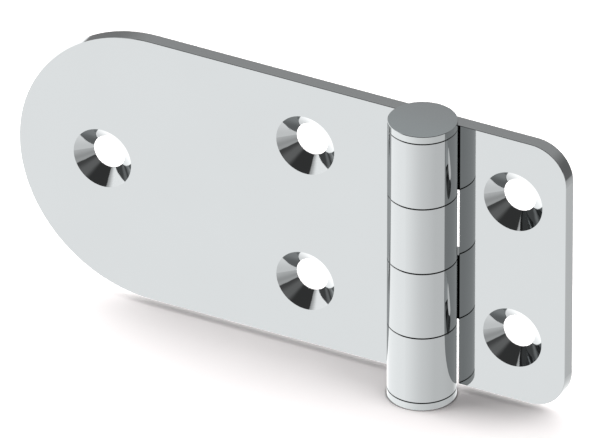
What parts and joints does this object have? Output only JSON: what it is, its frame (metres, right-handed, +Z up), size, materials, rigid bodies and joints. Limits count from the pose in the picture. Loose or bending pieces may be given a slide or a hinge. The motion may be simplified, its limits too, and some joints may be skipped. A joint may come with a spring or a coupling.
{
  "type": "leaf hinge",
  "caption": "Polished steel leaf hinge with a long round-ended leaf, a short leaf, rolled knuckles and countersunk screw holes.",
  "frame": {"origin": "On the mounting face, midway between the short leaf's two screw holes.", "axes": "+X along the leaves, from the long leaf to the short one; +Y into the surface that the hinge is screwed to, so -Y is the front; +Z up along the pin, with the pin's headed end at the top."},
  "size_m": [0.0783, 0.0089, 0.0402],
  "materials": {
    "polished_sheet": "mirror polished stainless steel sheet",
    "turned_steel": "turned and polished stainless steel"
  },
  "bodies": {
    "short_side": {"short_leaf": "polished_sheet", "hinge_pin": "turned_steel", "end_cap": "turned_steel"},
    "long_side": {"long_leaf": "polished_sheet"}
  },
  "joints": [
    {"name": "leaf_swing", "type": "hinge", "parent": "short_side", "child": "long_side", "pos_m": [-0.0116, -0.00445, 0], "axis": [0, 0, 1], "range_deg": [-75, 180]}
  ]
}
